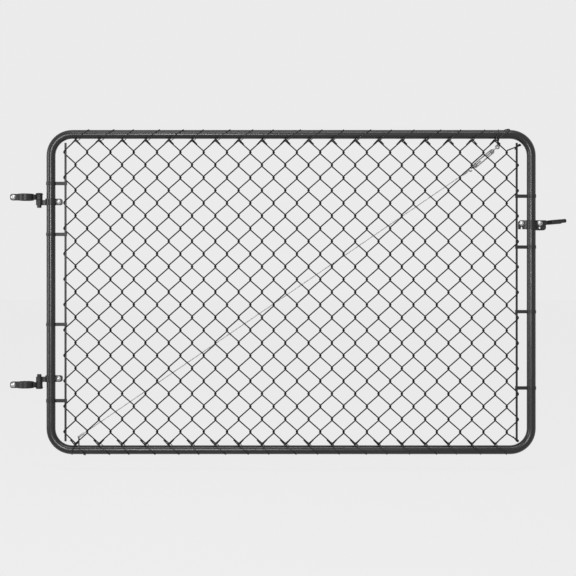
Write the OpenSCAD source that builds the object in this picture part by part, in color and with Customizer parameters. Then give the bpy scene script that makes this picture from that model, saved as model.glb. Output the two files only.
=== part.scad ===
// Chain link gate leaf with strap hinges, a fork latch and a truss cable.
// X runs from the hinge post to the latch side, Y to the back, Z up.
// The origin is on the post's axis, at mid height of the lower post strap.

/* [Leaf] */
// Outer width of the tube frame
leaf_w = 1750; // [900:10:2400]
// Outer height of the tube frame
leaf_h = 1160; // [900:10:1800]
// Outer diameter of the frame tube
tube_d = 31.75; // [25:0.25:45]
// Wall of the frame tube
tube_wall = 1.65; // [1:0.05:3]
// Radius of the corner bends, to the middle of the tube
bend_r = 76; // [60:1:140]

/* [Fabric] */
// Diameter of the coated wire
wire_d = 3.7; // [2.5:0.1:4.5]
// Wanted distance between the columns of crossings
column_pitch = 41.5; // [30:0.5:60]
// Wanted height of one diamond
diamond_h = 91; // [60:1:130]
// Room from the frame tube to the top and bottom bends of the wire
fabric_gap = 0.3; // [0.2:0.1:2]
// Distance that both ends of the last picket stay back, to clear the corner bends
corner_tip_back = 14; // [10:0.5:30]

/* [Tension bars] */
// Width of a tension bar, seen from the front
bar_w = 7.3; // [6:0.1:12]
// Depth of a tension bar
bar_t = 4.8; // [3:0.1:6]
// Distance from the middle of a stile to the middle of its bar
bar_offset = 52; // [40:1:80]
// Distance from the outer edge of the frame to the ends of the bars
bar_end_gap = 46; // [35:1:120]
// Room between a bar and the bends that hold it
bar_clearance = 0.2; // [0.1:0.1:1]

/* [Bands] */
// Width of the strap of a band
band_w = 12; // [8:1:25]
// Thickness of the strap of a band
band_t = 1.6; // [1:0.1:3]
// Rows of bends that the bands at the hinge side lie next to, counted from the bottom, or from
// the top where they are negative
hinge_band_rows = [3, 9, -7, -3];
// The same rows for the bands at the latch side
latch_band_rows = [4, 10, -8, -4];
// Room between a band and the wires next to it
band_wire_gap = 0.3; // [0.1:0.1:3]

/* [Ties] */
// Diameter of a tie wire
tie_d = 2.6; // [1.5:0.1:3.5]
// Room that a tie leaves between the tube and itself, for the bend of the fabric
tie_reach = 7.6; // [7:0.1:12]
// Play of a tie on the tube
tie_play = 0.2; // [0.1:0.1:1]

/* [Hinges] */
// Outer diameter of the hinge post, which is also the bore of the post straps
post_d = 48.3; // [40:0.1:90]
// Distance from the surface of the post to the middle of the hinge pin
post_to_pin = 23.85; // [23:0.05:60]
// Distance from the surface of the hinge stile to the middle of the hinge pin
stile_to_pin = 26.125; // [22:0.125:60]
// Height of the lower post strap, above the bottom of the leaf
lower_hinge_h = 248.5; // [160:0.5:400]
// Distance from the top of the leaf down to the upper post strap
upper_hinge_drop = 240.5; // [160:0.5:400]
// Width of the hinge straps at the pins
strap_w = 19; // [15:1:30]
// Width of the hinge straps round the post and round the stile
strap_ring_w = 23; // [19:1:40]
// Height of the middle of a gate strap's ring above the middle of its eye
gate_ring_rise = 2.5; // [0:0.5:4]
// Thickness of the post straps
post_strap_t = 4; // [3:0.1:6]
// Thickness of the gate straps
gate_strap_t = 3.5; // [2.5:0.1:6]
// Diameter of the hinge pins
pin_d = 15.88; // [12:0.01:16]
// Radial room of a hinge pin in the eye of its gate strap
pin_clearance = 0.06; // [0.02:0.01:0.1]
// Gap between a post strap and its gate strap, along the pin
knuckle_gap = 0.5; // [0.3:0.1:3]
// Thickness of the head of a hinge pin
pin_head_h = 5; // [3:0.5:10]
// Distance that a hinge pin stands out of its gate strap
pin_stick_out = 9; // [4:0.5:25]
// Gap between the two ears of a hinge strap
ear_gap = 5; // [3:0.5:9]
// Distance from the middle of the post to the bolt of a post strap
post_bolt_x = 44; // [42:0.5:80]
// Distance from the middle of the stile to the bolt of a gate strap
gate_bolt_x = 27.7; // [27:0.1:50]
// Length of the ears past the bolt of a post strap
post_ear_end = 11; // [8:0.5:25]
// Length of the ears past the bolt of a gate strap
gate_ear_end = 13.3; // [8:0.1:25]

/* [Carriage bolts] */
// Shank diameter of all the bolts
bolt_d = 8; // [6:0.5:9]
// Diameter of a bolt's domed head
bolt_head_d = 18; // [14:0.5:19]
// Height of a bolt's domed head
bolt_head_h = 4.6; // [3:0.1:7]
// Distance across the flats of a nut
nut_flats = 13; // [10:0.5:16]
// Thickness of a nut
nut_h = 6.5; // [4:0.5:9]
// Length of thread that stands out of a nut
bolt_stick_out = 5; // [1:0.5:12]
// Radial room of a bolt in a plain hole
bolt_clearance = 0.3; // [0.2:0.1:0.6]

/* [Latch] */
// Height of the latch bolts, above the bottom of the leaf
latch_h = 825.8; // [300:0.1:1000]
// Thickness of the collar's plates
collar_t = 3.2; // [2:0.1:5]
// Height of the collar above its bolts
collar_top = 11; // [10:0.5:20]
// Height of the collar below its bolts
collar_bottom = 21; // [14:0.5:40]
// Depth of the padlock ear below the bolts
padlock_ear_bottom = 25; // [22:0.5:45]
// Distance from the middle of the latch stile to the clamp bolt
clamp_bolt_x = 34.6; // [32:0.1:60]
// Length of the clamp ear past its bolt
clamp_ear_end = 11.4; // [9:0.1:25]
// Distance from the middle of the latch stile to the fork's pivot bolt
pivot_x = 29.8; // [29:0.1:60]
// Length of the padlock ear past the pivot bolt
padlock_ear_end = 21.8; // [14:0.1:40]
// Diameter of the padlock hole
padlock_hole_d = 8; // [6:0.5:10]
// Distance from the pivot bolt down to the padlock hole
padlock_hole_drop = 16; // [14:0.5:30]
// Width of the notch in the clamp ear
notch_w = 7; // [4:0.5:12]
// Depth of the notch in the clamp ear
notch_depth = 9; // [4:0.5:10]
// Radial room of the pivot bolt in the fork
pivot_clearance = 0.06; // [0.02:0.01:0.1]

/* [Fork] */
// Thickness of the fork's stem, between the ears of the collar
stem_t = 5.4; // [4:0.1:8]
// Room between the stem and each ear
stem_clearance = 0.3; // [0.2:0.1:1]
// Height of the fork's stem
stem_h = 15; // [14:0.5:24]
// Height of the prongs
prong_h = 13.5; // [8:0.5:20]
// Thickness of the prongs
prong_t = 5; // [3:0.1:8]
// Clear width between the prongs, for the latch post
fork_gap = 64; // [50:1:100]
// Distance from the pivot to where the prongs start to spread
spread_start = 28; // [28:0.5:50]
// Length over which the prongs spread
spread_run = 15; // [12:0.5:40]
// Distance from the pivot to the tips of the prongs
fork_reach = 88; // [70:1:200]
// Angle that the fork is raised by at rest
fork_rest_angle = 5; // [0:0.1:15]

/* [Truss cable] */
// Diameter of the cable
cable_d = 3.2; // [2:0.1:5]
// Distance from the hinge edge of the leaf to the cable's lower loop
cable_foot_x = 113; // [112:1:300]
// Height of the cable's lower end above the middle of the bottom rail
cable_foot_h = 45; // [40:1:80]
// Distance from the latch edge of the leaf to the cable's upper loop
cable_head_x = 133; // [112:1:400]
// Depth of the upper loop's end below the middle of the top rail
cable_head_drop = 42; // [40:1:100]
// Angle of the turnbuckle to the rails
turnbuckle_angle = 40; // [30:0.5:60]
// Length of the turnbuckle's body
turnbuckle_body = 94; // [60:1:160]
// Width of the turnbuckle's body
turnbuckle_w = 18; // [15:0.5:24]
// Diameter of the rods of the hook and the eye
turnbuckle_rod_d = 4.4; // [4:0.1:6]
// Diameter of the wire of their rings
ring_wire_d = 5; // [4.6:0.1:7]
// Length of the hook's rod between its ring and the body
hook_rod = 9; // [6:0.5:40]
// Length of the eye's rod between its ring and the body
eye_rod = 12; // [6:0.5:60]
// Radius of the hook and of the eye, to the middle of their wire
hook_r = 6; // [5.8:0.1:12]
// Radius of the small loop at the end of the upper cable, to the middle of the cable
link_r = 4.4; // [4.3:0.1:8]
// Play between linked rings and loops
link_play = 0.2; // [0.1:0.1:1]
// Diameter of the crimped sleeves on the cable
sleeve_d = 8; // [7:0.1:12]
// Length of the sleeves on the long cable
sleeve_l = 22; // [15:1:40]
// Length of the sleeve on the upper loop
head_sleeve_l = 7; // [5:0.5:15]

/* [Hidden] */
BAND_NUMBERS = [0, 1, 2, 3];

$fn = 48;
coating = "#2b2b2b";
zinc = "#c9ccce";
cut = 1;

tube_r = tube_d / 2;
post_r = post_d / 2;
pin_r = pin_d / 2;
wire_r = wire_d / 2;
cable_r = cable_d / 2;

// Places of the leaf
pin_x = post_r + post_to_pin;
hinge_stile_x = pin_x + stile_to_pin + tube_r;
leaf_left = hinge_stile_x - tube_r;
leaf_right = leaf_left + leaf_w;
latch_stile_x = leaf_right - tube_r;
leaf_bottom = -lower_hinge_h;
leaf_top = leaf_bottom + leaf_h;
bottom_rail_z = leaf_bottom + tube_r;
top_rail_z = leaf_top - tube_r;
rail_left = hinge_stile_x + bend_r;
rail_right = latch_stile_x - bend_r;
stile_low = bottom_rail_z + bend_r;
stile_high = top_rail_z - bend_r;

// Places of the fabric: its outer columns of bends lie outside the tension bars
hinge_bar_x = hinge_stile_x + bar_offset;
latch_bar_x = latch_stile_x - bar_offset;
bend_out = bar_w / 2 + bar_clearance + wire_r;
layer_y = bar_t / 2 + bar_clearance + wire_r;
fabric_left = hinge_bar_x - bend_out;
fabric_right = latch_bar_x + bend_out;
fabric_low = leaf_bottom + tube_d + fabric_gap + wire_r;
fabric_high = leaf_top - tube_d - fabric_gap - wire_r;
picket_pairs = round(((fabric_right - fabric_left) / column_pitch - 1) / 2);
pickets = 2 * picket_pairs + 1;
half_rows = 2 * round((fabric_high - fabric_low) / diamond_h);
pitch_x = (fabric_right - fabric_left) / pickets;
pitch_z = (fabric_high - fabric_low) / half_rows;
tie_columns = [for (i = [1:2:pickets - 1]) fabric_left + i * pitch_x];

// Height of a band's middle beside its row of bends, clear of the wires that lead to the bends
band_tip = bend_out + bar_w / 2 + band_t;
band_step = band_w / 2 + band_wire_gap
    + (band_tip * pitch_z + wire_r * norm([pitch_x, pitch_z])) / pitch_x;
function band_z(row) =
    row < 0 ? fabric_high + row * pitch_z - band_step : fabric_low + row * pitch_z + band_step;

// Places of the hinges
post_strap_r = post_r + post_strap_t;
gate_strap_r = tube_r + gate_strap_t;
knuckle_r = pin_r + post_strap_t;
eye_r = pin_r + pin_clearance + gate_strap_t;
hinge_step = strap_w + knuckle_gap;
strap_shoulder = 0.4;
upper_hinge_z = leaf_top - upper_hinge_drop;
gate_bolt_far = hinge_stile_x + gate_bolt_x;

// Places of the latch
latch_z = leaf_bottom + latch_h;
collar_gap = stem_t + 2 * stem_clearance;
fork_pivot_x = latch_stile_x + pivot_x;

// Places of the cable and its turnbuckle, as points [x, z] at the depth of the cable
loop_r = tube_r + tie_play + cable_r;
link_step = ring_wire_d / 2 + cable_r + link_play;
cable_y = loop_r - link_step;
along = [cos(turnbuckle_angle), sin(turnbuckle_angle)];
foot = [leaf_left + cable_foot_x, bottom_rail_z + cable_foot_h];
head = [leaf_right - cable_head_x, top_rail_z - cable_head_drop];
eye_centre = head - (hook_r - link_step) * along;
body_start = eye_centre - (hook_r + eye_rod + turnbuckle_body) * along;
hook_centre = body_start - (hook_r + hook_rod) * along;

function at_depth(p) = [p[0], cable_y, p[1]];

// Angle at which a line from point p touches the cable's loop, on its front where side is 1
// and p lies above, and the point of the loop at an angle
function tangent_angle(p, side) = atan2(p[1], p[0]) + side * acos(loop_r / norm(p));
function on_loop(a) = [0, loop_r * cos(a), loop_r * sin(a)];
function in_depth(p) = [0, p[0], p[1]];

// A round rod from point p to point q
module rod(p, q, r, sides = 48) {
    v = q - p;
    translate(p)
        rotate([0, acos(v[2] / norm(v)), atan2(v[1], v[0])])
            cylinder(h = norm(v), r = r, $fn = sides);
}

// Straight frame tube along Z, standing on the origin
module tube(length) {
    linear_extrude(length) difference() {
        circle(tube_r);
        circle(tube_r - tube_wall);
    }
}

// A rail along X, at height z
module rail(z) {
    color(coating) translate([rail_left, 0, z]) rotate([0, 90, 0]) tube(rail_right - rail_left);
}

// A stile along Z, at x
module stile(x) {
    color(coating) translate([x, 0, stile_low]) tube(stile_high - stile_low);
}

// One corner bend, turned by angle a in the plane of the leaf
module bend(x, z, a) {
    translate([x, 0, z]) rotate([90, a, 0]) rotate_extrude(angle = 90) translate([bend_r, 0])
        difference() {
            circle(tube_r);
            circle(tube_r - tube_wall);
        }
}

module corner_bends() {
    color(coating) {
        bend(rail_right, stile_high, 0);
        bend(rail_left, stile_high, -90);
        bend(rail_left, stile_low, 180);
        bend(rail_right, stile_low, 90);
    }
}

// A place on the fabric, by column i and half row j, in the layer at y
function tip_back(i, j) =
    i < pickets ? 0 : j == 0 ? corner_tip_back : j == half_rows ? -corner_tip_back : 0;
function crossing(i, j, y) = [fabric_left + i * pitch_x, y, fabric_low + j * pitch_z + tip_back(i, j)];

// A wire from column a to column b, where it is on half row j, climbing by step at each column
module wire(a, b, j, step, y) {
    corner = tip_back(b, j) != 0;
    straight = corner ? b - 1 : b;
    if (straight > a)
        rod(crossing(a, j - step * (b - a), y), crossing(straight, j - step * (b - straight), y), wire_r, 6);
    if (corner)
        rod(crossing(straight, j - step, y), crossing(b, j, y), wire_r, 6);
}

// The fabric between columns low and high. Wires that rise to the right lie in front,
// those that fall to the right lie behind, and at each crossing the bends join them.
module fabric(low, high) {
    color(coating) {
        for (c = [2 - pickets:2:half_rows - 1]) {
            first = max(low, -c);
            last = min(high, half_rows - c);
            if (last > first) wire(first, last, last + c, 1, -layer_y);
        }
        for (c = [1:2:pickets + half_rows - 2]) {
            first = max(low, c - half_rows);
            last = min(high, c);
            if (last > first) wire(first, last, c - last, -1, layer_y);
        }
        for (i = [ceil(low):floor(high)], j = [(i + 1) % 2:2:half_rows])
            rod(crossing(i, j, -layer_y - wire_r), crossing(i, j, layer_y + wire_r), wire_r, 6);
    }
}

// A flat tension bar through the end bends of the fabric
module tension_bar(x) {
    low = leaf_bottom + bar_end_gap;
    color(coating) translate([x - bar_w / 2, -bar_t / 2, low])
        cube([bar_w, bar_t, leaf_h - 2 * bar_end_gap]);
}

// Plan of the space inside a band, grown on all sides: the stile, and the slot of the bar
module band_plan(grow) {
    circle(tube_r + grow);
    translate([0, -bar_t / 2 - grow]) square([bar_offset + bar_w / 2 + grow, bar_t + 2 * grow]);
}

// A strap band round a stile and its tension bar. side is 1 where the bar lies towards +X.
module band(x, side, row) {
    color(coating) translate([x, 0, band_z(row) - band_w / 2]) rotate([0, 0, side > 0 ? 0 : 180])
        linear_extrude(band_w) difference() {
            band_plan(band_t);
            band_plan(0);
        }
}

// Wire ties round a rail at height z. side is 1 where the fabric lies above the rail.
module ties(z, side) {
    offset_z = (tie_reach - tie_play) / 2;
    ring_r = tube_r + tie_play / 2 + tie_reach / 2 + tie_d / 2;
    color(coating) for (x = tie_columns)
        translate([x, 0, z + side * offset_z]) rotate([0, 90, 0])
            rotate_extrude() translate([ring_r, 0]) circle(tie_d / 2);
}

// A carriage bolt along Y with its nut. The plates it clamps lie from -grip / 2 to grip / 2.
module carriage_bolt(x, z, grip) {
    dome_r = (bolt_head_d * bolt_head_d / 4 + bolt_head_h * bolt_head_h) / (2 * bolt_head_h);
    color(zinc) translate([x, grip / 2, z]) rotate([90, 0, 0]) {
        translate([0, 0, -nut_h - bolt_stick_out])
            cylinder(h = grip + nut_h + bolt_stick_out + bolt_head_h / 2, r = bolt_d / 2);
        translate([0, 0, -nut_h]) cylinder(h = nut_h, r = nut_flats / sqrt(3), $fn = 6);
        translate([0, 0, grip]) intersection() {
            translate([0, 0, bolt_head_h - dome_r]) sphere(dome_r);
            cylinder(h = bolt_head_h + cut, r = bolt_head_d / 2);
        }
    }
}

// Plan of a hinge strap: a ring, a neck to the pin's eye, and two ears for the bolt.
// side is 1 where the pin lies towards +X.
module strap_plan(ring_in, ring_out, pin_far, eye_in, eye_out, thick, ear_reach, side) {
    difference() {
        union() {
            circle(ring_out);
            translate([side * pin_far, 0]) circle(eye_out);
            translate([side > 0 ? 0 : -pin_far, -thick]) square([pin_far, 2 * thick]);
            translate([side > 0 ? -ear_reach : 0, -ear_gap / 2 - thick])
                square([ear_reach, ear_gap + 2 * thick]);
        }
        circle(ring_in);
        translate([side * pin_far, 0]) circle(eye_in);
        translate([side > 0 ? -ear_reach - cut : 0, -ear_gap / 2]) square([ear_reach + cut, ear_gap]);
    }
}

// Side view of a hinge strap: a wide ring with rounded ears, raised by rise, and a narrower eye
module strap_side(ring_far, eye_far, ear_reach, side, rise) {
    corner_r = strap_ring_w / 3;
    translate([side > 0 ? 0 : -eye_far, -strap_w / 2]) square([eye_far, strap_w]);
    translate([0, rise]) {
        translate([side > 0 ? -ear_reach + corner_r : -ring_far, -strap_ring_w / 2])
            square([ear_reach - corner_r + ring_far, strap_ring_w]);
        translate([side > 0 ? -ear_reach : ear_reach - 2 * corner_r, corner_r - strap_ring_w / 2])
            square([2 * corner_r, strap_ring_w - 2 * corner_r]);
        for (z = [-1, 1])
            translate([-side * (ear_reach - corner_r), z * (strap_ring_w / 2 - corner_r)]) circle(corner_r);
    }
}

// A hinge strap with its bolt holes, at x and z
module hinge_strap(x, z, ring_in, pin_far, eye_in, thick, bolt_x, ear_end, side, rise) {
    ring_out = ring_in + thick;
    eye_out = eye_in + thick;
    reach = bolt_x + ear_end;
    color(coating) translate([x, 0, z]) difference() {
        intersection() {
            linear_extrude(2 * strap_ring_w, center = true)
                strap_plan(ring_in, ring_out, pin_far, eye_in, eye_out, thick, reach, side);
            rotate([90, 0, 0]) linear_extrude(2 * ring_out + 2 * cut, center = true)
                strap_side(ring_out + strap_shoulder, pin_far + eye_out + cut, reach, side, rise);
        }
        translate([-side * bolt_x, ring_out + cut, rise]) rotate([90, 0, 0])
            cylinder(h = 2 * ring_out + 2 * cut, r = bolt_d / 2 + bolt_clearance);
    }
}

module post_strap(z) {
    hinge_strap(0, z, post_r, pin_x, pin_r, post_strap_t, post_bolt_x, post_ear_end, 1, 0);
}

module gate_strap(z) {
    hinge_strap(hinge_stile_x, z, tube_r, stile_to_pin + tube_r, pin_r + pin_clearance,
        gate_strap_t, gate_bolt_x, gate_ear_end, -1, gate_ring_rise);
}

// A hinge pin. way is 1 where it points up out of its post strap at height z.
module hinge_pin(z, way) {
    color(coating) translate([pin_x, 0, z]) rotate([way > 0 ? 0 : 180, 0, 0]) {
        translate([0, 0, -strap_w / 2]) cylinder(h = strap_w + hinge_step + pin_stick_out, r = pin_r);
        translate([0, 0, -strap_w / 2 - pin_head_h]) cylinder(h = pin_head_h, r = knuckle_r);
    }
}

// Plan of half the latch collar, on the side of y given by way
module collar_plan(way) {
    left = -clamp_bolt_x - clamp_ear_end;
    width = pivot_x + padlock_ear_end - left;
    difference() {
        union() {
            circle(tube_r + collar_t);
            translate([left, -collar_gap / 2 - collar_t]) square([width, collar_gap + 2 * collar_t]);
        }
        circle(tube_r);
        translate([left - cut, way > 0 ? -tube_d : -collar_gap / 2])
            square([width + 2 * cut, tube_d + collar_gap / 2]);
    }
}

// Points on a quarter or half circle about point c, from angle a to angle b
function arc(c, r, a, b) = [for (i = [0:8]) let (t = a + (b - a) * i / 8) c + r * [cos(t), sin(t)]];

// Side view of the latch collar, with its chamfer, notch, round corner and padlock hole
module collar_side() {
    left = -clamp_bolt_x - clamp_ear_end;
    right = pivot_x + padlock_ear_end;
    chamfer = collar_top * 0.55;
    corner_r = padlock_ear_bottom * 0.4;
    notch_r = notch_w / 2;
    notch_top = [-clamp_bolt_x, notch_depth - collar_bottom - notch_r];
    difference() {
        polygon(concat(
            [[left, -collar_bottom], [left, collar_top - chamfer], [left + chamfer, collar_top],
                [right, collar_top]],
            arc([right - corner_r, corner_r - padlock_ear_bottom], corner_r, 0, -90),
            [[tube_r + collar_t, -padlock_ear_bottom], [tube_r, -collar_bottom],
                [notch_top[0] + notch_r, -collar_bottom]],
            arc(notch_top, notch_r, 0, 180),
            [[notch_top[0] - notch_r, -collar_bottom]]
        ));
        translate([pivot_x, -padlock_hole_drop]) circle(padlock_hole_d / 2);
        for (x = [-clamp_bolt_x, pivot_x]) translate([x, 0]) circle(bolt_d / 2 + bolt_clearance);
    }
}

// One half of the latch collar. way is 1 for the back half.
module latch_collar(way) {
    tall = collar_top + padlock_ear_bottom;
    color(coating) translate([latch_stile_x, 0, latch_z]) intersection() {
        translate([0, 0, -padlock_ear_bottom - cut]) linear_extrude(tall + 2 * cut) collar_plan(way);
        rotate([90, 0, 0]) linear_extrude(2 * tube_d, center = true) collar_side();
    }
}

// Plan of the fork: a stem that splits into two prongs, one each side of the latch post
module fork_plan() {
    start = spread_start;
    end = spread_start + spread_run;
    outer = fork_gap / 2 + prong_t;
    inner = fork_gap / 2;
    polygon([
        [-stem_h, stem_t / 2], [start, stem_t / 2], [end - prong_t, outer], [fork_reach, outer],
        [fork_reach, inner], [end, inner], [start + 1.5 * prong_t, 0],
        [end, -inner], [fork_reach, -inner],
        [fork_reach, -outer], [end - prong_t, -outer], [start, -stem_t / 2], [-stem_h, -stem_t / 2]
    ]);
}

// Side view of the fork, with its pivot hole
module fork_side() {
    tip = fork_reach - prong_h / 4;
    end = spread_start + spread_run;
    difference() {
        polygon(concat(
            arc([0, 0], stem_h / 2, 270, 90),
            [[spread_start, stem_h / 2], [end, prong_h / 2], [tip, prong_h / 2], [fork_reach, prong_h / 4],
                [fork_reach, -prong_h / 4], [tip, -prong_h / 2], [end, -prong_h / 2],
                [spread_start, -stem_h / 2]]
        ));
        circle(bolt_d / 2 + pivot_clearance);
    }
}

module latch_fork() {
    color(coating) translate([fork_pivot_x, 0, latch_z]) rotate([0, -fork_rest_angle, 0]) intersection() {
        translate([0, 0, -stem_h]) linear_extrude(2 * stem_h) fork_plan();
        rotate([90, 0, 0]) linear_extrude(fork_gap + 4 * prong_t, center = true) fork_side();
    }
}

// A cable loop round a rail at x and height z, closed at the point p, given as [y, z] from the
// middle of the rail. side is 1 where p lies above the rail.
module rail_loop(x, z, p, side) {
    strand_r = 0.9 * cable_r;
    apart = [cable_r / 2, 0];
    front = tangent_angle(p - apart, side);
    back = tangent_angle(p + apart, -side);
    translate([x, 0, z]) {
        rotate([0, 90, 0]) rotate_extrude() translate([loop_r, 0]) circle(cable_r);
        rod(on_loop(front), in_depth(p - apart), strand_r);
        rod(on_loop(back), in_depth(p + apart), strand_r);
    }
}

// The cable, with its loop round the bottom rail, a small loop in the hook, and a sleeve at each
module truss_cable() {
    span = hook_centre - foot;
    dir = span / norm(span);
    top_ring = hook_centre - (2 * hook_r - link_step) * dir;
    sleeve_end = top_ring - hook_r * dir;
    color(zinc) {
        rail_loop(foot[0], bottom_rail_z, [cable_y, cable_foot_h], 1);
        rod(at_depth(foot), at_depth(sleeve_end - sleeve_l / 2 * dir), cable_r);
        rod(at_depth(foot - 2 * cable_r * dir), at_depth(foot + sleeve_l * dir), sleeve_d / 2);
        rod(at_depth(sleeve_end - sleeve_l * dir), at_depth(sleeve_end), sleeve_d / 2);
        translate(at_depth(top_ring)) rotate([0, -atan2(dir[1], dir[0]), 0])
            rotate_extrude() translate([hook_r, 0]) circle(cable_r);
    }
}

// The short cable that hangs the turnbuckle's eye on the top rail: a loop, a sleeve and a small loop
module cable_head_loop() {
    sleeve_low = 2 * link_r - cable_head_drop;
    color(zinc) {
        rail_loop(head[0], top_rail_z, [cable_y, sleeve_low + head_sleeve_l - cable_r], -1);
        translate([head[0], cable_y, top_rail_z]) {
            translate([0, 0, sleeve_low]) cylinder(h = head_sleeve_l, r = sleeve_d / 2);
            translate([0, 0, link_r - cable_head_drop]) rotate([0, 90, 0])
                rotate_extrude() translate([link_r, 0]) circle(cable_r);
        }
    }
}

// The turnbuckle's open body: two side bars and two end blocks
module turnbuckle_body() {
    block = turnbuckle_w * 0.7;
    side_t = turnbuckle_w * 0.22;
    color(zinc) translate(at_depth(body_start)) rotate([0, -turnbuckle_angle, 0]) difference() {
        translate([0, -block / 4, -turnbuckle_w / 2]) cube([turnbuckle_body, block / 2, turnbuckle_w]);
        translate([block, -block, side_t - turnbuckle_w / 2])
            cube([turnbuckle_body - 2 * block, 2 * block, turnbuckle_w - 2 * side_t]);
        translate([-cut, 0, 0]) rotate([0, 90, 0])
            cylinder(h = turnbuckle_body + 2 * cut, r = turnbuckle_rod_d / 2);
    }
}

// A turnbuckle rod of a length from its ring about point p into the body.
// way is 1 for the upper end.
module turnbuckle_end(p, length, way) {
    inside = p - way * (hook_r + length + turnbuckle_w) * along;
    color(zinc) {
        rod(at_depth(inside), at_depth(p - way * hook_r * along), turnbuckle_rod_d / 2);
        translate(at_depth(p)) rotate([90, 0, 0])
            rotate_extrude() translate([hook_r, 0]) circle(ring_wire_d / 2);
    }
}

rail(top_rail_z);  // top_rail
rail(bottom_rail_z);  // bottom_rail
stile(hinge_stile_x);  // hinge_stile
stile(latch_stile_x);  // latch_stile
corner_bends();
fabric(0, pickets / 2);  // fabric_hinge_half
fabric(pickets / 2, pickets);  // fabric_latch_half
tension_bar(hinge_bar_x);  // hinge_tension_bar
tension_bar(latch_bar_x);  // latch_tension_bar
for (i = BAND_NUMBERS) {
    band(hinge_stile_x, 1, hinge_band_rows[i]);
    band(latch_stile_x, -1, latch_band_rows[i]);
}
ties(top_rail_z, -1);  // top_ties
ties(bottom_rail_z, 1);  // bottom_ties
post_strap(upper_hinge_z);  // upper_post_strap
post_strap(0);  // lower_post_strap
carriage_bolt(-post_bolt_x, upper_hinge_z, ear_gap + 2 * post_strap_t);  // upper_post_bolt
carriage_bolt(-post_bolt_x, 0, ear_gap + 2 * post_strap_t);  // lower_post_bolt
hinge_pin(upper_hinge_z, -1);  // upper_hinge_pin
hinge_pin(0, 1);  // lower_hinge_pin
gate_strap(upper_hinge_z - hinge_step);  // upper_gate_strap
gate_strap(hinge_step);  // lower_gate_strap
carriage_bolt(gate_bolt_far, upper_hinge_z - hinge_step + gate_ring_rise, ear_gap + 2 * gate_strap_t);  // upper_gate_bolt
carriage_bolt(gate_bolt_far, hinge_step + gate_ring_rise, ear_gap + 2 * gate_strap_t);  // lower_gate_bolt
latch_collar(-1);  // latch_collar_front
latch_collar(1);  // latch_collar_back
carriage_bolt(latch_stile_x - clamp_bolt_x, latch_z, collar_gap + 2 * collar_t);  // latch_clamp_bolt
carriage_bolt(fork_pivot_x, latch_z, collar_gap + 2 * collar_t);  // latch_pivot_bolt
latch_fork();
truss_cable();
cable_head_loop();
turnbuckle_body();
turnbuckle_end(hook_centre, hook_rod, -1);  // turnbuckle_hook
turnbuckle_end(eye_centre, eye_rod, 1);  // turnbuckle_eye
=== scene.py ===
from math import acos, atan2, cos, pi, radians, sin, sqrt

import bmesh
import bpy
from mathutils import Matrix, Vector


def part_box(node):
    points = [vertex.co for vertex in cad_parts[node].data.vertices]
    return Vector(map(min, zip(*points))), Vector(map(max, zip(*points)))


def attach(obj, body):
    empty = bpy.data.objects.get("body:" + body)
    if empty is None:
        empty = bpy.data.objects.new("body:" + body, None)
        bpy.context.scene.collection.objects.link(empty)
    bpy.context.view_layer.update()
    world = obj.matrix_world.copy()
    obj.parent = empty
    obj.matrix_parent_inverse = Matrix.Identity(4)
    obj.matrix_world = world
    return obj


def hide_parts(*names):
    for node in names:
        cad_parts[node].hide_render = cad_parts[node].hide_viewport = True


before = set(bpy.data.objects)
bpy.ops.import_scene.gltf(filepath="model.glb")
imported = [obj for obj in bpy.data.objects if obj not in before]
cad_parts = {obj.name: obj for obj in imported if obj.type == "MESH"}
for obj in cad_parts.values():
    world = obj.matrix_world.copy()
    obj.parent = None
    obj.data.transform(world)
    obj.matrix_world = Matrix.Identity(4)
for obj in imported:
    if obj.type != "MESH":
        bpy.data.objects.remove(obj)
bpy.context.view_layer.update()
scene = bpy.context.scene


# Frame of the leaf
# One steel tube, bent at the four corners and welded into a ring, then coated with black polymer.
# The coat is smooth and slightly glossy, so the lamps draw long stripes along it.
DRIFT_SCALE = 7.0
RIPPLE_SCALE = 30.0
RIPPLE_DEPTH = 0.001
GRAIN_SCALE = 520.0
GRAIN_DEPTH = 0.0002
GRAIN_STRENGTH = 0.2


def new_material(name):
    material = bpy.data.materials.new(name)
    material.use_nodes = True
    return material, material.node_tree.nodes, material.node_tree.links


def cloud(nodes, links, scale, detail):
    place = nodes.new("ShaderNodeTexCoord")
    noise = nodes.new("ShaderNodeTexNoise")
    noise.inputs["Scale"].default_value = scale
    noise.inputs["Detail"].default_value = detail
    links.new(place.outputs["Object"], noise.inputs["Vector"])
    return noise.outputs["Fac"]


def tinted(nodes, links, source, dark, light):
    ramp = nodes.new("ShaderNodeValToRGB")
    ramp.color_ramp.elements[0].position = 0.3
    ramp.color_ramp.elements[0].color = (*dark, 1.0)
    ramp.color_ramp.elements[1].position = 0.72
    ramp.color_ramp.elements[1].color = (*light, 1.0)
    links.new(source, ramp.inputs["Fac"])
    links.new(ramp.outputs["Color"], nodes["Principled BSDF"].inputs["Base Color"])


def varied_roughness(nodes, links, source, low, high):
    spread = nodes.new("ShaderNodeMapRange")
    spread.inputs["From Min"].default_value = 0.3
    spread.inputs["From Max"].default_value = 0.7
    spread.inputs["To Min"].default_value = low
    spread.inputs["To Max"].default_value = high
    links.new(source, spread.inputs["Value"])
    links.new(spread.outputs["Result"], nodes["Principled BSDF"].inputs["Roughness"])


def embossed(nodes, links, layers):
    """Lay bumps over each other, each given as height source, strength and depth."""
    under = None
    for source, strength, depth in layers:
        bump = nodes.new("ShaderNodeBump")
        bump.inputs["Strength"].default_value = strength
        bump.inputs["Distance"].default_value = depth
        links.new(source, bump.inputs["Height"])
        if under:
            links.new(under, bump.inputs["Normal"])
        under = bump.outputs["Normal"]
    links.new(under, nodes["Principled BSDF"].inputs["Normal"])


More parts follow.
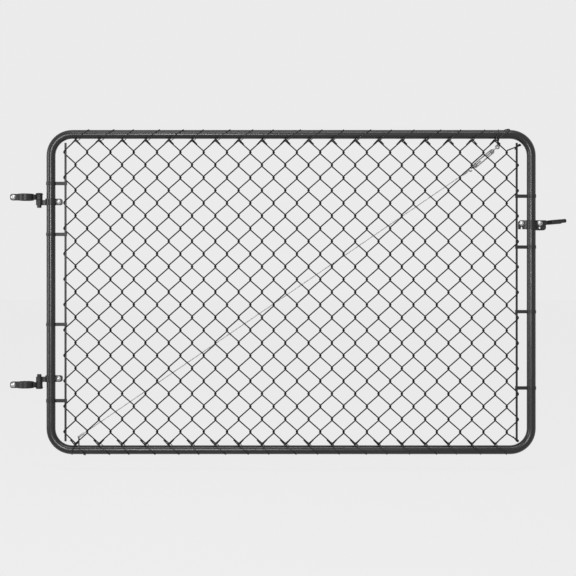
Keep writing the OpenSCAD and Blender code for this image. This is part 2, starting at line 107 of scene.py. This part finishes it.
def black_coat(name, dark, light, roughness, gloss, ripple):
    material, nodes, links = new_material(name)
    drift = cloud(nodes, links, DRIFT_SCALE, 4.0)
    tinted(nodes, links, drift, dark, light)
    varied_roughness(nodes, links, drift, roughness - 0.04, roughness + 0.06)
    embossed(nodes, links, [(cloud(nodes, links, RIPPLE_SCALE, 2.0), ripple, RIPPLE_DEPTH),
                            (cloud(nodes, links, GRAIN_SCALE, 2.0), GRAIN_STRENGTH, GRAIN_DEPTH)])
    nodes["Principled BSDF"].inputs["Specular IOR Level"].default_value = gloss
    return material


def coat_nodes(material, names):
    for name in names:
        for place in bpy.data.objects[name].material_slots:
            place.material = material


tube_coat = black_coat("tube_coat", (0.01, 0.01, 0.011), (0.017, 0.017, 0.018), 0.27, 0.4, 0.03)
coat_nodes(tube_coat, ["top_rail", "bottom_rail", "hinge_stile", "latch_stile", "corner_bends"])
tube_low, tube_high = (Vector(corner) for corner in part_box("top_rail"))
TUBE_R = (tube_high.z - tube_low.z) / 2
TOP_RAIL_Z = (tube_high.z + tube_low.z) / 2
BOTTOM_RAIL_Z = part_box("bottom_rail")[0][2] + TUBE_R


# Tension bars and their bands
# Flat steel bars slide down through the end bends of the fabric, and strap bands pressed from
# steel strip pull them towards the stiles. All have cut edges, softened by their black coat.
BAR_EDGE = 0.0006
BAND_EDGE = 0.0004
FACET_CREASE = 35
CUT_EDGE_ANGLE = radians(50)
SAME_POINT = 2e-6
SAME_PLANE = radians(0.5)


def finished_piece(bm, name, material, body, nodes, crease=FACET_CREASE):
    """Make a piece of the mesh, shaded smooth up to the crease angle, and fix it to its body."""
    bmesh.ops.recalc_face_normals(bm, faces=bm.faces)
    for face in bm.faces:
        face.smooth = True
    for edge in bm.edges:
        edge.smooth = len(edge.link_faces) == 2 and edge.calc_face_angle() < radians(crease)
    mesh = bpy.data.meshes.new(name)
    bm.to_mesh(mesh)
    bm.free()
    mesh.materials.append(material)
    piece = bpy.data.objects.new(name, mesh)
    scene.collection.objects.link(piece)
    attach(piece, body)
    if nodes:
        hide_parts(*nodes)


def pressed_steel(node, body, edge_width):
    """The CAD part with its cut edges broken, as cutting and coating leave them."""
    bm = bmesh.new()
    bm.from_mesh(bpy.data.objects[node].data)
    bmesh.ops.remove_doubles(bm, verts=bm.verts, dist=SAME_POINT)
    bmesh.ops.dissolve_limit(bm, angle_limit=SAME_PLANE, verts=bm.verts, edges=bm.edges)
    cut_edges = [edge for edge in bm.edges
                 if edge.is_manifold and edge.calc_face_angle() > CUT_EDGE_ANGLE]
    bmesh.ops.bevel(bm, geom=cut_edges, offset=edge_width, offset_type="OFFSET", affect="EDGES",
                    segments=1, profile=0.5, material=-1, clamp_overlap=True)
    finished_piece(bm, node + "_pressed", strap_coat, body, [node])


strap_coat = black_coat("strap_coat", (0.011, 0.011, 0.012), (0.02, 0.02, 0.021), 0.36, 0.28, 0.1)
for side in ("hinge", "latch"):
    pressed_steel(side + "_tension_bar", "leaf", BAR_EDGE)
    for count in (1, 2, 3, 4):
        pressed_steel(side + "_band_" + str(count), "leaf", BAND_EDGE)


# Woven fabric
# Each picket is one coated wire, wound flat and hooked through its neighbour at every bend. Legs
# that rise to the right lie in front, the others behind. Both ends are knuckled: bent back over
# the neighbour's end, beside their own leg.
WIRE_D = 0.0047
BEND_DEPTH = 0.0047
PICKETS = 39
LEGS = 24
TAIL = 0.021
SHORT_TAIL = 0.011
KNUCKLE_SPREAD = 0.0058
KNUCKLE_LIFT = 0.7
WIRE_CREASE = 70
HOOK = WIRE_D / 2
BAR_PLAY = 0.0001
RAIL_PLAY = 0.0003
BEND_STEPS = 6
CORNER_BACK_TOP = 0.0165
CORNER_BACK_BOTTOM = 0.011
CORNER_OUT_TOP = 0.008

wire_coat = black_coat("wire_coat", (0.006, 0.006, 0.007), (0.011, 0.011, 0.012), 0.4, 0.18, 0.05)
fabric_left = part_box("hinge_tension_bar")[0][0] - BAR_PLAY - WIRE_D / 2
fabric_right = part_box("latch_tension_bar")[1][0] + BAR_PLAY + WIRE_D / 2
fabric_low = BOTTOM_RAIL_Z + TUBE_R + RAIL_PLAY + WIRE_D / 2
fabric_high = TOP_RAIL_Z - TUBE_R - RAIL_PLAY - WIRE_D / 2
column_pitch = (fabric_right - fabric_left) / PICKETS
leg_rise = (fabric_high - fabric_low) / LEGS


def swept_wire(bm, paths, thickness, roundness, closed=False, swell=None):
    """Add round wires along the paths, with each point's thickness multiplied by swell."""
    line = bpy.data.curves.new("wire_line", "CURVE")
    line.dimensions = "3D"
    line.bevel_depth = thickness / 2
    line.bevel_resolution = roundness
    line.use_fill_caps = True
    for path in paths:
        spline = line.splines.new("POLY")
        spline.points.add(len(path) - 1)
        spline.use_cyclic_u = closed
        for count, place in enumerate(path):
            spline.points[count].co = (*place, 1.0)
            spline.points[count].radius = swell(count) if swell else 1.0
    holder = bpy.data.objects.new("wire_line", line)
    mesh = bpy.data.meshes.new_from_object(holder)
    bm.from_mesh(mesh)
    bpy.data.objects.remove(holder)
    bpy.data.curves.remove(line)
    bpy.data.meshes.remove(mesh)


def picket_path(number):
    """The path of one picket, from the tail at its bottom end to the tail at its top end."""
    last_picket = number == PICKETS - 1
    left = fabric_left + number * column_pitch - (0 if number == 0 else HOOK)
    right = fabric_left + (number + 1) * column_pitch + (0 if last_picket else HOOK)
    flat = right - left - 2 * BEND_DEPTH
    bend_rise = leg_rise * pi * BEND_DEPTH / (flat + pi * BEND_DEPTH)
    slope = (leg_rise - bend_rise) / flat
    away = -1 if number % 2 == 0 else 1
    path = []
    for turn in range(LEGS + 1):
        at_left = (number + turn) % 2 == 1
        side = -1 if at_left else 1
        middle = left + BEND_DEPTH if at_left else right - BEND_DEPTH
        height = fabric_low + turn * leg_rise
        if last_picket and turn == 0:
            height += CORNER_BACK_BOTTOM
        if last_picket and turn == LEGS:
            height -= CORNER_BACK_TOP
            middle += CORNER_OUT_TOP
        for step in range(BEND_STEPS + 1):
            angle = pi * step / BEND_STEPS
            depth = BEND_DEPTH * cos(angle) * side * -1
            out = middle + side * BEND_DEPTH * sin(angle)
            if turn == 0:
                rise = KNUCKLE_SPREAD * (1 - cos(angle)) / 2
            elif turn == LEGS:
                rise = -KNUCKLE_SPREAD * (1 + cos(angle)) / 2
            else:
                rise = bend_rise * (step / BEND_STEPS - 0.5)
            path.append(Vector((out, depth, height + rise)))
    for end, way in ((0, 1), (-1, -1)):
        # The tail beside the foot of the cable is cut short
        tail = SHORT_TAIL if number == 1 and way == 1 else TAIL
        tail_x = tail / sqrt(1 + slope ** 2)
        tail_z = tail_x * slope + KNUCKLE_LIFT * KNUCKLE_SPREAD * tail / TAIL
        tip = path[end] + Vector((away * tail_x, 0, way * tail_z))
        path.insert(0 if way == 1 else len(path), tip)
    return path


def weave(name, numbers, node):
    bm = bmesh.new()
    swept_wire(bm, [picket_path(number) for number in numbers], WIRE_D, 3)
    finished_piece(bm, name, wire_coat, "leaf", [node], crease=WIRE_CREASE)


weave("woven_pickets_hinge_half", range(0, 20), "fabric_hinge_half")
weave("woven_pickets_latch_half", range(20, PICKETS), "fabric_latch_half")


# Tie wires
# At each pair of knuckles a coated wire is hooked through the fabric and wound once over the rail
# by hand, more or less slantwise, so that it shows as a small bump on the far edge of the rail.
TIE_D = 0.0026
TIE_REACH = 0.0076
TIE_STEPS = 34
TIE_OVERLAP = radians(28)
TIE_SHIFT = TIE_D * 1.1
TIES = PICKETS // 2
TOP_SLANT = 0.049
BOTTOM_SLANT = 0.033
SLANT_SPREAD = 0.008
SLANT_BEAT = 2.2
SLANT_BY_CABLE = 0.012

tie_coat = black_coat("tie_coat", (0.01, 0.01, 0.011), (0.016, 0.016, 0.017), 0.3, 0.4, 0.05)


def tie_path(column_x, rail_z, way, slant):
    ring_r = TUBE_R + TIE_REACH / 2 + TIE_D / 2
    path = []
    for step in range(TIE_STEPS + 1):
        angle = -TIE_OVERLAP + (2 * pi + 2 * TIE_OVERLAP) * step / TIE_STEPS
        beside = (step / TIE_STEPS - 0.5) * TIE_SHIFT
        x = column_x + beside + slant * (1 - cos(angle)) / 2
        height = rail_z + way * (ring_r * cos(angle) + TIE_REACH / 2)
        path.append(Vector((x, -ring_r * sin(angle), height)))
    return path


def tie_rail(name, rail_z, way, slant, cable_tie, cable_slant, node):
    """Tie one rail. The tie beside the cable's loop leans less, to clear the loop."""
    paths = []
    for count in range(TIES):
        lean = cable_slant if count == cable_tie else slant + SLANT_SPREAD * sin(SLANT_BEAT * count)
        paths.append(tie_path(fabric_left + (2 * count + 1) * column_pitch, rail_z, way, lean))
    bm = bmesh.new()
    swept_wire(bm, paths, TIE_D, 2)
    finished_piece(bm, name, tie_coat, "leaf", [node], crease=WIRE_CREASE)


tie_rail("top_tie_wires", TOP_RAIL_Z, -1, TOP_SLANT, TIES - 1, SLANT_BY_CABLE, "top_ties")
tie_rail("bottom_tie_wires", BOTTOM_RAIL_Z, 1, BOTTOM_SLANT, 0, -SLANT_BY_CABLE, "bottom_ties")


# Hinges
# Pressed steel straps close round the post and the stile. A steel pin, welded into the post
# strap, turns in the eye of the gate strap. Straps, pins and welds are coated black.
STRAP_EDGE = 0.0007
PIN_EDGE = 0.001
WELD_D = 0.0034
WELD_POINTS = 72
WELD_RIPPLE = 0.16
WELD_FROM_END = 0.005

for level in ("upper", "lower"):
    pressed_steel(level + "_post_strap", "post_side", STRAP_EDGE)
    pressed_steel(level + "_gate_strap", "leaf", STRAP_EDGE)
    pressed_steel(level + "_hinge_pin", "post_side", PIN_EDGE)

weld_beads = bmesh.new()
for level, way in (("upper", 1), ("lower", -1)):
    pin_low, pin_high = (Vector(corner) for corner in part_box(level + "_hinge_pin"))
    pin_middle = (pin_low + pin_high) / 2
    head_r = (pin_high.x - pin_low.x) / 2
    seam_z = pin_high.z - WELD_FROM_END if way > 0 else pin_low.z + WELD_FROM_END
    ring = [Vector((pin_middle.x + head_r * cos(2 * pi * step / WELD_POINTS),
                    head_r * sin(2 * pi * step / WELD_POINTS), seam_z)) for step in range(WELD_POINTS)]
    swept_wire(weld_beads, [ring], WELD_D, 2, closed=True,
               swell=lambda count: 1 + WELD_RIPPLE * sin(count * pi / 2))
finished_piece(weld_beads, "hinge_pin_welds", strap_coat, "post_side", [],
               crease=WIRE_CREASE)


# Carriage bolts
# Each strap and the latch are drawn together by zinc-plated bolts: a low dome at the front, and
# a washer, a nut and a little bare thread at the back.
DOME_H = 0.0046
DOME_R = 0.009
DOME_ROUND = 0.0003
DOME_RIM = 0.0005
DOME_RINGS = 6
SHANK_R = 0.004
WASHER_T = 0.0016
WASHER_R = 0.0082
WASHER_ROUND = 0.0003
NUT_T = 0.0065
NUT_FLATS = 0.013
NUT_ROUND = 0.0005
THREAD_PITCH = 0.00125
THREAD_DEPTH = 0.0006
THREAD_CREST = 0.0003
THREAD_ROOT = 0.0008
TIP_H = 0.0011
TIP_TAPER = 0.0008
THREAD_STOP = 0.001
BOLT_STEPS = 32
SPIN_SEAM = 1e-6
SPANGLE_DRIFT = 90.0
DENT_SCALE = 200.0
DENT_STRENGTH = 0.06
PIT_SCALE = 1400.0
PIT_STRENGTH = 0.12


def zinc_finish(name, dark, light, roughness, flake):
    material, nodes, links = new_material(name)
    place = nodes.new("ShaderNodeTexCoord")
    spangle = nodes.new("ShaderNodeTexVoronoi")
    spangle.inputs["Scale"].default_value = flake
    links.new(place.outputs["Object"], spangle.inputs["Vector"])
    patches = nodes.new("ShaderNodeSeparateColor")
    links.new(spangle.outputs["Color"], patches.inputs["Color"])
    tinted(nodes, links, patches.outputs["Red"], dark, light)
    drift = cloud(nodes, links, SPANGLE_DRIFT, 4.0)
    varied_roughness(nodes, links, drift, roughness - 0.08, roughness + 0.1)
    embossed(nodes, links, [(cloud(nodes, links, DENT_SCALE, 2.0), DENT_STRENGTH, 0.0004),
                            (cloud(nodes, links, PIT_SCALE, 2.0), PIT_STRENGTH, 0.0001)])
    nodes["Principled BSDF"].inputs["Metallic"].default_value = 1.0
    return material


def turned(bm, profile, steps, matrix):
    """Spin a profile of radius and height about Z, then set it in place."""
    spun = bmesh.new()
    row = [spun.verts.new((radius, 0, height)) for radius, height in profile]
    for start, end in zip(row, row[1:]):
        spun.edges.new((start, end))
    bmesh.ops.spin(spun, geom=spun.verts[:] + spun.edges[:], cent=(0, 0, 0), axis=(0, 0, 1),
                   dvec=(0, 0, 0), angle=2 * pi, steps=steps, use_merge=True, use_duplicate=False)
    bmesh.ops.remove_doubles(spun, verts=spun.verts, dist=SPIN_SEAM)
    bmesh.ops.transform(spun, matrix=matrix, verts=spun.verts)
    part = bpy.data.meshes.new("turned_part")
    spun.to_mesh(part)
    spun.free()
    bm.from_mesh(part)
    bpy.data.meshes.remove(part)


def carriage_bolt(node, body):
    low, high = (Vector(corner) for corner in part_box(node))
    face = low.y + DOME_H
    back = -face
    ball_r = (DOME_R ** 2 + DOME_H ** 2) / (2 * DOME_H)
    outline = [(0.0, low.y)]
    for step in range(1, DOME_RINGS + 1):
        radius = (DOME_R - DOME_ROUND) * step / DOME_RINGS
        outline.append((radius, low.y + ball_r - sqrt(ball_r ** 2 - radius ** 2)))
    outline += [(DOME_R, face - DOME_RIM), (DOME_R, face), (SHANK_R, face), (SHANK_R, back)]
    for turn in range(int((high.y - back - THREAD_STOP) / THREAD_PITCH)):
        start = back + turn * THREAD_PITCH
        outline += [(SHANK_R, start + THREAD_CREST), (SHANK_R - THREAD_DEPTH, start + THREAD_ROOT)]
    outline += [(SHANK_R, high.y - TIP_H), (SHANK_R - TIP_TAPER, high.y), (0.0, high.y)]
    place = Matrix.Translation(((low.x + high.x) / 2, 0, (low.z + high.z) / 2))
    to_back = place @ Matrix.Rotation(-pi / 2, 4, "X")
    bm = bmesh.new()
    turned(bm, outline, BOLT_STEPS, to_back)
    washer_back = back + WASHER_T
    washer = [(SHANK_R, washer_back), (WASHER_R - WASHER_ROUND, washer_back),
              (WASHER_R, washer_back - WASHER_ROUND), (WASHER_R, back + WASHER_ROUND),
              (WASHER_R - WASHER_ROUND, back), (SHANK_R, back)]
    turned(bm, washer, BOLT_STEPS, to_back)
    nut = bmesh.new()
    bmesh.ops.create_cone(nut, cap_ends=True, segments=6, radius1=NUT_FLATS / sqrt(3),
                          radius2=NUT_FLATS / sqrt(3), depth=NUT_T,
                          matrix=Matrix.Translation((0, 0, washer_back + NUT_T / 2)))
    bmesh.ops.bevel(nut, geom=nut.edges[:], offset=NUT_ROUND, offset_type="OFFSET", affect="EDGES",
                    segments=2, profile=0.5, material=-1, clamp_overlap=True)
    bmesh.ops.transform(nut, matrix=to_back, verts=nut.verts)
    part = bpy.data.meshes.new("nut")
    nut.to_mesh(part)
    nut.free()
    bm.from_mesh(part)
    bpy.data.meshes.remove(part)
    finished_piece(bm, node + "_zinc", bolt_zinc, body, [node])


bolt_zinc = zinc_finish("bolt_zinc", (0.4, 0.41, 0.43), (0.47, 0.48, 0.49), 0.4, 420.0)
for level in ("upper", "lower"):
    carriage_bolt(level + "_post_bolt", "post_side")
    carriage_bolt(level + "_gate_bolt", "leaf")


# Fork latch
# Two pressed halves clamp the latch stile. The fork turns on the outer bolt and drops over the
# latch post. Collar and fork are coated black, and the two carriage bolts are zinc.
COLLAR_EDGE = 0.0006
FORK_EDGE = 0.0009

pressed_steel("latch_collar_front", "leaf", COLLAR_EDGE)
pressed_steel("latch_collar_back", "leaf", COLLAR_EDGE)
pressed_steel("latch_fork", "fork", FORK_EDGE)
carriage_bolt("latch_clamp_bolt", "leaf")
carriage_bolt("latch_pivot_bolt", "leaf")


# Truss cable
# A galvanised cable of twisted wires runs behind the fabric from the foot of the hinge side to
# the turnbuckle. Crimped sleeves close its loops, and black hose covers those round the rails.
CABLE_R = 0.0016
CABLE_Y = 0.013375
CABLE_LAY = 0.022
STRANDS = 6
STRAND_D = CABLE_R * 0.72
STRAND_RING = CABLE_R * 0.66
STEPS_PER_LAY = 8
LOOP_R = 0.006
SLEEVE_R = 0.004
SLEEVE_L = 0.022
SLEEVE_ROUND = 0.0006
SLEEVE_END = 0.86
SLEEVE_IN = 0.004
SLEEVE_STEPS = 20
DENT_DEPTH = 0.8
DENT_STEP = 0.007
DENT_HALF = 0.0018
HOSE_D = 0.0044
HOSE_PLAY = 0.0001
HOSE_APART = 0.0016
HOSE_STEPS = 24
HOSE_START = 0.0142
HEAD_SLEEVE_START = 0.0088
HEAD_SLEEVE_L = 0.007
HEAD_RING_R = 0.0044
HEAD_SLANT = 0.038
FOOT_SLANT = 0.024
LOOP_LEAN = 0.005
FOOT = Vector((0.187125, CABLE_Y, -0.187625))
HEAD = Vector((1.691125, CABLE_Y, 0.853625))
LINK_STEP = 0.0043
BODY_L = 0.094
BODY_W = 0.018
HOOK_ROD = 0.009
EYE_ROD = 0.012

turnbuckle_way = Vector((cos(radians(40)), 0, sin(radians(40))))
eye_middle = HEAD - (LOOP_R - LINK_STEP) * turnbuckle_way
body_start = eye_middle - (LOOP_R + EYE_ROD + BODY_L) * turnbuckle_way
hook_middle = body_start - (LOOP_R + HOOK_ROD) * turnbuckle_way
cable_way = (hook_middle - FOOT).normalized()
top_loop = hook_middle - (2 * LOOP_R - LINK_STEP) * cable_way
depth_way = Vector((0, 1, 0))
cable_zinc = zinc_finish("cable_zinc", (0.3, 0.31, 0.32), (0.42, 0.43, 0.44), 0.5, 500.0)
sleeve_zinc = zinc_finish("sleeve_zinc", (0.36, 0.37, 0.38), (0.48, 0.49, 0.5), 0.45, 300.0)
hose_black = black_coat("hose_black", (0.015, 0.015, 0.015), (0.022, 0.022, 0.022), 0.34, 0.45, 0.05)


def stranded(path, across):
    """The wires twisted round the line of the path, which is square to across."""
    strands = [[] for strand in range(STRANDS)]
    run = 0.0
    for count, place in enumerate(path):
        before = path[max(count - 1, 0)]
        after = path[min(count + 1, len(path) - 1)]
        beside = (after - before).normalized().cross(across)
        run += (place - before).length
        for strand in range(STRANDS):
            angle = 2 * pi * (run / CABLE_LAY + strand / STRANDS)
            strands[strand].append(place + STRAND_RING * (across * cos(angle) + beside * sin(angle)))
    return strands


def ring_path(middle, radius, first, second, steps=28):
    angles = [2 * pi * step / steps for step in range(steps + 1)]
    return [middle + radius * (first * cos(angle) + second * sin(angle)) for angle in angles]


cable = bmesh.new()
cable_start = FOOT + SLEEVE_IN * cable_way
cable_end = top_loop - (LOOP_R + SLEEVE_IN / 2) * cable_way
cable_steps = int((cable_end - cable_start).length / CABLE_LAY * STEPS_PER_LAY)
straight = [cable_start.lerp(cable_end, step / cable_steps) for step in range(cable_steps + 1)]
swept_wire(cable, stranded(straight, depth_way), STRAND_D, 1)
hook_ring = ring_path(top_loop, LOOP_R, cable_way * -1, depth_way)
swept_wire(cable, stranded(hook_ring, cable_way.cross(depth_way)), STRAND_D, 1)
finished_piece(cable, "cable_strands", cable_zinc, "leaf", ["truss_cable"], crease=WIRE_CREASE)


def crimped_sleeve(bm, start, way, length):
    end_r = SLEEVE_R * SLEEVE_END
    dent_r = SLEEVE_R * DENT_DEPTH
    profile = [(0.0, 0.0), (end_r, 0.0), (SLEEVE_R, SLEEVE_ROUND)]
    dents = max(1, round(length / DENT_STEP))
    for dent in range(dents):
        middle = length * (dent + 0.5) / dents
        profile += [(SLEEVE_R, middle - DENT_HALF), (dent_r, middle - DENT_HALF / 2),
                    (dent_r, middle + DENT_HALF / 2), (SLEEVE_R, middle + DENT_HALF)]
    profile += [(SLEEVE_R, length - SLEEVE_ROUND), (end_r, length), (0.0, length)]
    aim = Vector((0, 0, 1)).rotation_difference(way).to_matrix().to_4x4()
    turned(bm, profile, SLEEVE_STEPS, Matrix.Translation(start) @ aim)


def hose_loop(rail_z, place, way, slant, lean):
    """The path of a cable loop round a rail, from its sleeve at place and back to it."""
    loop_r = TUBE_R + HOSE_PLAY + HOSE_D / 2
    ends = []
    for shift, turn in ((-HOSE_APART, way), (HOSE_APART, -way)):
        y, z = place.y + shift, place.z - rail_z
        ends.append((y, z, atan2(z, y) + turn * acos(loop_r / sqrt(y * y + z * z))))
    (y1, z1, front), (y2, z2, back) = ends
    while (back - front) * way < 0:
        back += way * 2 * pi
    path = [Vector((place.x, y1, rail_z + z1))]
    for step in range(HOSE_STEPS + 1):
        share = step / HOSE_STEPS
        angle = front + (back - front) * share
        x = place.x + slant * (1 - cos(2 * pi * share)) / 2 + lean * (1 - share)
        path.append(Vector((x, loop_r * cos(angle), rail_z + loop_r * sin(angle))))
    path.append(Vector((place.x, y2, rail_z + z2)))
    return path


sleeves = bmesh.new()
crimped_sleeve(sleeves, FOOT - SLEEVE_IN * cable_way, cable_way, SLEEVE_L + SLEEVE_IN)
crimped_sleeve(sleeves, top_loop - (LOOP_R + SLEEVE_L) * cable_way, cable_way, SLEEVE_L)
crimped_sleeve(sleeves, HEAD + Vector((0, 0, HEAD_SLEEVE_START)), Vector((0, 0, 1)), HEAD_SLEEVE_L)
finished_piece(sleeves, "cable_sleeves", sleeve_zinc, "leaf", [])

hoses = bmesh.new()
foot_hose = hose_loop(BOTTOM_RAIL_Z, FOOT, 1, FOOT_SLANT, LOOP_LEAN)
head_hose = hose_loop(TOP_RAIL_Z, HEAD + Vector((0, 0, HOSE_START)), -1, HEAD_SLANT, 0.0)
swept_wire(hoses, [foot_hose, head_hose], HOSE_D, 3)
finished_piece(hoses, "loop_hoses", hose_black, "leaf", [], crease=WIRE_CREASE)

head_link = bmesh.new()
head_ring = ring_path(HEAD + Vector((0, 0, HEAD_RING_R)), HEAD_RING_R, Vector((0, 0, 1)), depth_way)
swept_wire(head_link, stranded(head_ring, Vector((1, 0, 0))), STRAND_D, 1)
finished_piece(head_link, "head_loop_strands", cable_zinc, "leaf", ["cable_head_loop"],
               crease=WIRE_CREASE)


# Turnbuckle
# A small forged turnbuckle of galvanised steel: an open body of two side bars between two end
# barrels, with a threaded hook at the lower end and a threaded eye at the upper.
BARREL_R = 0.0056
BARREL_L = 0.0145
SIDE_BAR_D = 0.005
ROD_R = 0.0022
ROD_PITCH = 0.001
ROD_INSIDE = 0.034
RING_D = 0.005
CORNER_SHARE = 0.8
CORNER_STEPS = 6
BARREL_ROUND = 0.0012
BARREL_TAPER = 0.002
BARREL_STEPS = 24
BARREL_END = BARREL_R * 0.72
BARREL_NECK = BARREL_R * 0.7
ROD_TIP = ROD_R * 0.7
ROD_ROOT = ROD_R * 0.82
ROD_STEPS = 12
ROD_CREASE = 60
HOOK_D = RING_D * 0.9
HOOK_REACH = 0.002
HOOK_SWEEP = 300
HOOK_STEP = 12
EYE_SHANK_D = RING_D * 0.88
EYE_REACH = 0.003

turnbuckle_zinc = zinc_finish("turnbuckle_zinc", (0.2, 0.21, 0.22), (0.3, 0.31, 0.32), 0.45, 420.0)
across_body = turnbuckle_way.cross(depth_way)
body_middle = body_start + BODY_L / 2 * turnbuckle_way
body_end = body_start + BODY_L * turnbuckle_way
aim = Vector((0, 0, 1)).rotation_difference(turnbuckle_way).to_matrix().to_4x4()
back_aim = Vector((0, 0, 1)).rotation_difference(-turnbuckle_way).to_matrix().to_4x4()

open_body = bmesh.new()
half_w = BODY_W / 2 - SIDE_BAR_D / 2
half_l = BODY_L / 2 - SIDE_BAR_D / 2
corner_r = half_w * CORNER_SHARE
loop = []
for corner, (long_sign, wide_sign) in enumerate(((1, 1), (-1, 1), (-1, -1), (1, -1))):
    centre = (body_middle + turnbuckle_way * long_sign * (half_l - corner_r)
              + across_body * wide_sign * (half_w - corner_r))
    for step in range(CORNER_STEPS + 1):
        angle = radians(90) * (corner + step / CORNER_STEPS)
        loop.append(centre + corner_r * (turnbuckle_way * cos(angle) + across_body * sin(angle)))
swept_wire(open_body, [loop], SIDE_BAR_D, 3, closed=True)
barrel = [(0.0, 0.0), (BARREL_END, 0.0), (BARREL_R, BARREL_ROUND), (BARREL_R, BARREL_L - BARREL_TAPER),
          (BARREL_NECK, BARREL_L), (0.0, BARREL_L)]
turned(open_body, barrel, BARREL_STEPS, Matrix.Translation(body_start) @ aim)
turned(open_body, barrel, BARREL_STEPS, Matrix.Translation(body_end) @ back_aim)
finished_piece(open_body, "turnbuckle_open_body", turnbuckle_zinc, "leaf", ["turnbuckle_body"])


def threaded_rod(bm, start, turn_to, length):
    profile = [(0.0, 0.0), (ROD_TIP, 0.0)]
    for ridge in range(int(length / ROD_PITCH)):
        profile += [(ROD_R, (ridge + 0.4) * ROD_PITCH), (ROD_ROOT, (ridge + 0.9) * ROD_PITCH)]
    profile += [(ROD_R, length), (0.0, length)]
    turned(bm, profile, ROD_STEPS, Matrix.Translation(start) @ turn_to)


hook = bmesh.new()
threaded_rod(hook, body_start + ROD_INSIDE * turnbuckle_way, back_aim, ROD_INSIDE + HOOK_REACH)
hook_line = [body_start, hook_middle + (LOOP_R + HOOK_REACH) * turnbuckle_way]
for degrees in range(0, HOOK_SWEEP + 1, HOOK_STEP):
    angle = radians(degrees)
    hook_line.append(hook_middle + LOOP_R * (turnbuckle_way * cos(angle) + across_body * sin(angle)))
swept_wire(hook, [hook_line], HOOK_D, 3)
finished_piece(hook, "turnbuckle_threaded_hook", turnbuckle_zinc, "leaf", ["turnbuckle_hook"],
               crease=ROD_CREASE)

eye = bmesh.new()
threaded_rod(eye, body_end - ROD_INSIDE * turnbuckle_way, aim, ROD_INSIDE + EYE_REACH)
swept_wire(eye, [[body_end, eye_middle - LOOP_R * turnbuckle_way]], EYE_SHANK_D, 3)
eye_ring = ring_path(eye_middle, LOOP_R, turnbuckle_way, across_body)[:-1]
swept_wire(eye, [eye_ring], RING_D, 3, closed=True)
finished_piece(eye, "turnbuckle_threaded_eye", turnbuckle_zinc, "leaf", ["turnbuckle_eye"],
               crease=ROD_CREASE)


# Studio
# The camera stands straight in front of the gate, on a wide pale floor under pale air. Three
# soft boxes light the leaf: one in front, one at its left, one above.
CAMERA_PLACE = (0.938, -4.2, 0.3461)
CAMERA_LENS = 73.36
FLOOR_Z = -0.31
FLOOR_REACH = 60.0
FLOOR_GLOW = 0.93
FLOOR_PALE = 0.864
AIR_PALE = 0.832

camera_data = bpy.data.cameras.new("camera")
camera_data.lens = CAMERA_LENS
camera_data.sensor_width = 36.0
camera = bpy.data.objects.new("camera", camera_data)
camera.location = CAMERA_PLACE
camera.rotation_euler = (radians(90), 0, 0)
scene.collection.objects.link(camera)
scene.camera = camera


def seen_pale(nodes, links, lit, pale, share, output):
    """Show a share of plain pale light to the eye, in gloss and through glass, over the lit shader."""
    path_kind = nodes.new("ShaderNodeLightPath")
    seen = path_kind.outputs["Is Camera Ray"]
    for kind in ("Is Glossy Ray", "Is Transmission Ray"):
        either = nodes.new("ShaderNodeMath")
        either.operation = "MAXIMUM"
        links.new(seen, either.inputs[0])
        links.new(path_kind.outputs[kind], either.inputs[1])
        seen = either.outputs["Value"]
    part = nodes.new("ShaderNodeMath")
    part.operation = "MULTIPLY"
    part.inputs[1].default_value = share
    links.new(seen, part.inputs[0])
    mix = nodes.new("ShaderNodeMixShader")
    links.new(part.outputs["Value"], mix.inputs["Fac"])
    links.new(lit, mix.inputs[1])
    links.new(pale, mix.inputs[2])
    links.new(mix.outputs["Shader"], nodes[output].inputs["Surface"])


floor_paint, nodes, links = new_material("floor_paint")
nodes["Principled BSDF"].inputs["Base Color"].default_value = (0.8, 0.8, 0.8, 1.0)
nodes["Principled BSDF"].inputs["Roughness"].default_value = 0.9
glow = nodes.new("ShaderNodeEmission")
glow.inputs["Color"].default_value = (FLOOR_PALE, FLOOR_PALE, FLOOR_PALE, 1.0)
seen_pale(nodes, links, nodes["Principled BSDF"].outputs["BSDF"], glow.outputs["Emission"], FLOOR_GLOW,
          "Material Output")

floor = bmesh.new()
bmesh.ops.create_grid(floor, x_segments=1, y_segments=1, size=FLOOR_REACH,
                      matrix=Matrix.Translation((0, 0, FLOOR_Z)))
floor_mesh = bpy.data.meshes.new("studio_floor")
floor.to_mesh(floor_mesh)
floor.free()
floor_mesh.materials.append(floor_paint)
studio_floor = bpy.data.objects.new("studio_floor", floor_mesh)
scene.collection.objects.link(studio_floor)

world = bpy.data.worlds.new("studio_air")
scene.world = world
world.use_nodes = True
nodes, links = world.node_tree.nodes, world.node_tree.links
nodes["Background"].inputs["Color"].default_value = (0.9, 0.92, 0.95, 1.0)
nodes["Background"].inputs["Strength"].default_value = 0.2
pale_air = nodes.new("ShaderNodeBackground")
pale_air.inputs["Color"].default_value = (AIR_PALE, AIR_PALE, AIR_PALE, 1.0)
seen_pale(nodes, links, nodes["Background"].outputs["Background"], pale_air.outputs["Background"], 1.0,
          "World Output")


def soft_box(name, place, aim_at, width, height, power):
    lamp = bpy.data.lights.new(name, "AREA")
    lamp.shape = "RECTANGLE"
    lamp.size = width
    lamp.size_y = height
    lamp.energy = power
    box = bpy.data.objects.new(name, lamp)
    box.location = place
    box.rotation_euler = (Vector(aim_at) - Vector(place)).to_track_quat("-Z", "Y").to_euler()
    box.visible_camera = False
    scene.collection.objects.link(box)


soft_box("front_box", (0.1, -4.9, 0.75), (0.9, 0, 0.35), 1.1, 1.1, 105)
soft_box("left_box", (-4.2, -2.0, 0.5), (0.9, 0, 0.35), 1.0, 3.2, 115)
soft_box("top_box", (0.9, -2.2, 4.0), (0.9, 0, 0.35), 3.4, 1.0, 80)

scene.view_settings.view_transform = "Standard"
